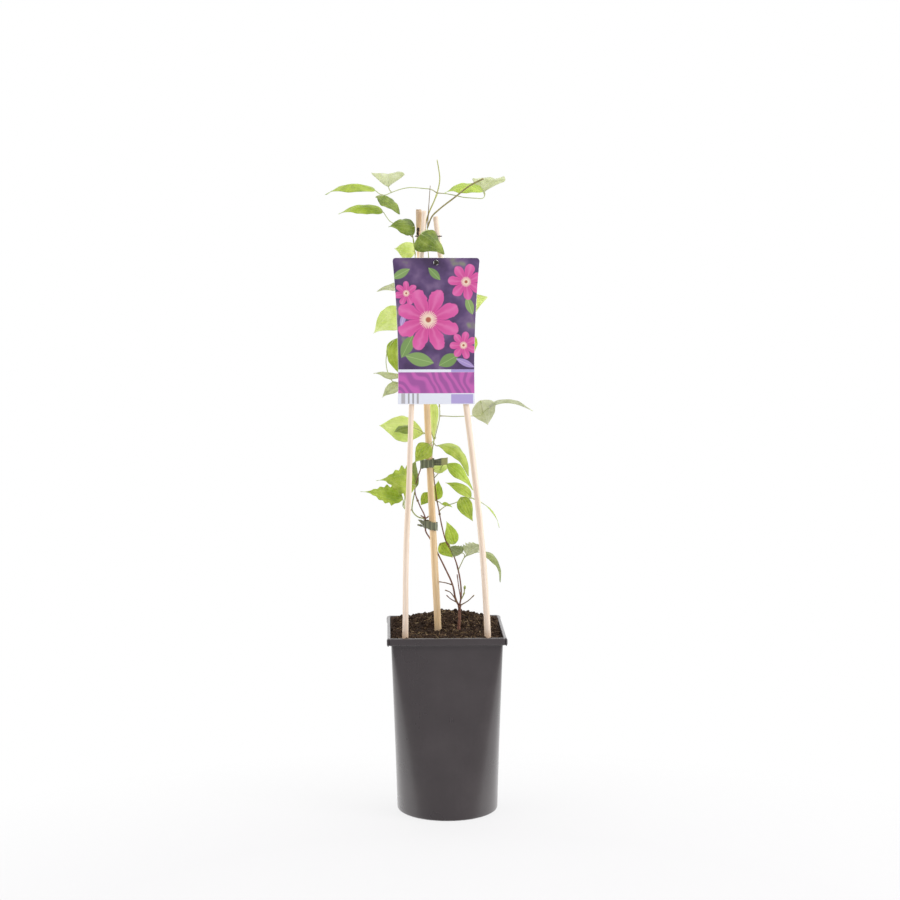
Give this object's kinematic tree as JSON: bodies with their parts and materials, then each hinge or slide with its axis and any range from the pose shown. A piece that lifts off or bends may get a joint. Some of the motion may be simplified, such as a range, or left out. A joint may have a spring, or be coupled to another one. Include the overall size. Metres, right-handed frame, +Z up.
{
  "type": "potted clematis",
  "caption": "Young climbing clematis in a square-topped nursery pot, trained up canes that lean together, with a hanging picture label",
  "frame": {"origin": "centre of the pot's flat underside", "axes": "+Z up, -Y towards the front that the label faces, +X to the right seen from the front"},
  "size_m": [0.238, 0.1384, 0.7596],
  "materials": {
    "pot_plastic": "satin",
    "soil": "matt",
    "pale_cane": "satin",
    "bamboo": "satin",
    "bark": "matt",
    "young_stem": "satin",
    "leaf_dark": "satin",
    "leaf_mid": "satin",
    "leaf_bright": "satin",
    "leaf_pale": "satin",
    "leaf_grey": "matt",
    "label_plastic": "gloss",
    "tie_plastic": "satin",
    "tape_plastic": "satin"
  },
  "bodies": {
    "root": {"pot": "pot_plastic", "soil": "soil", "cane_left": "pale_cane", "cane_middle": "bamboo", "cane_right": "pale_cane", "vine_stem": "bark", "leader": "young_stem", "frond_top_left": "leaf_mid", "frond_top_right": "leaf_grey", "leaf_crown_left": "leaf_dark", "leaf_crown_dark": "leaf_dark", "leaf_crown_front": "leaf_dark", "leaf_crown_pale": "leaf_pale", "frond_label_left_upper": "leaf_pale", "frond_label_left_lower": "leaf_dark", "frond_label_right": "leaf_bright", "frond_back_high": "leaf_mid", "frond_back_middle": "leaf_mid", "frond_label_foot": "leaf_grey", "frond_middle_left": "leaf_pale", "leaf_behind_cane": "leaf_pale", "leaf_middle_small": "leaf_bright", "leaf_middle_arching": "leaf_bright", "frond_middle_right": "leaf_bright", "frond_lower_right": "leaf_bright", "frond_lower_left": "leaf_mid", "leaf_behind_tie": "leaf_bright", "frond_low_pale": "leaf_pale", "frond_low_right": "leaf_grey", "tape_tie_lower": "tape_plastic", "tape_tie_upper": "tape_plastic", "cane_tie": "tie_plastic", "label": "label_plastic", "label_tie": "tie_plastic"}
  },
  "joints": []
}
